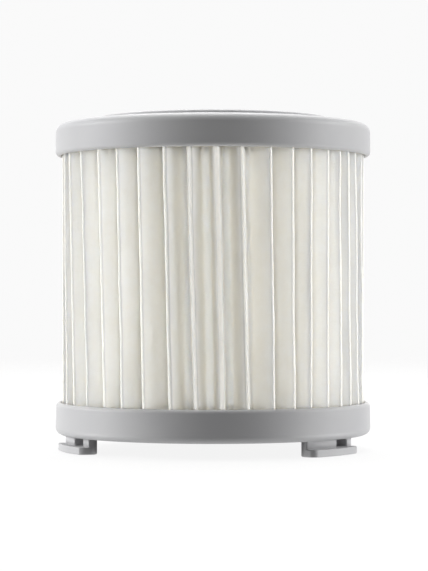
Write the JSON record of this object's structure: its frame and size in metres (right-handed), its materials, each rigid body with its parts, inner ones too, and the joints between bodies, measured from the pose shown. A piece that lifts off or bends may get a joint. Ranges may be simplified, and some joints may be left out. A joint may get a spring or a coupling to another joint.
{
  "type": "vacuum hepa filter",
  "caption": "Upright cylindrical filter cartridge: pleated media between a closed top cap and an open bottom cap with bayonet lugs.",
  "frame": {"origin": "on the cartridge's axis, in the plane of the undersides of the three bayonet feet on which it stands", "axes": "+Z along the axis, up from the feet to the closed top cap; +Y through the lug at the back"},
  "size_m": [0.07, 0.07, 0.0733],
  "materials": {
    "cap_plastic": "satin light grey moulded plastic",
    "filter_media": "white felted fibre sheet, folded",
    "cage_plastic": "white moulded plastic grid",
    "adhesive": "cast adhesive, off-white",
    "seal_rubber": "dark grey soft rubber"
  },
  "bodies": {
    "root": {"top_cap": "cap_plastic", "bottom_cap": "cap_plastic", "pleated_media": "filter_media", "inner_cage": "cage_plastic", "top_adhesive": "adhesive", "bottom_adhesive": "adhesive", "outlet_seal": "seal_rubber"}
  },
  "joints": []
}
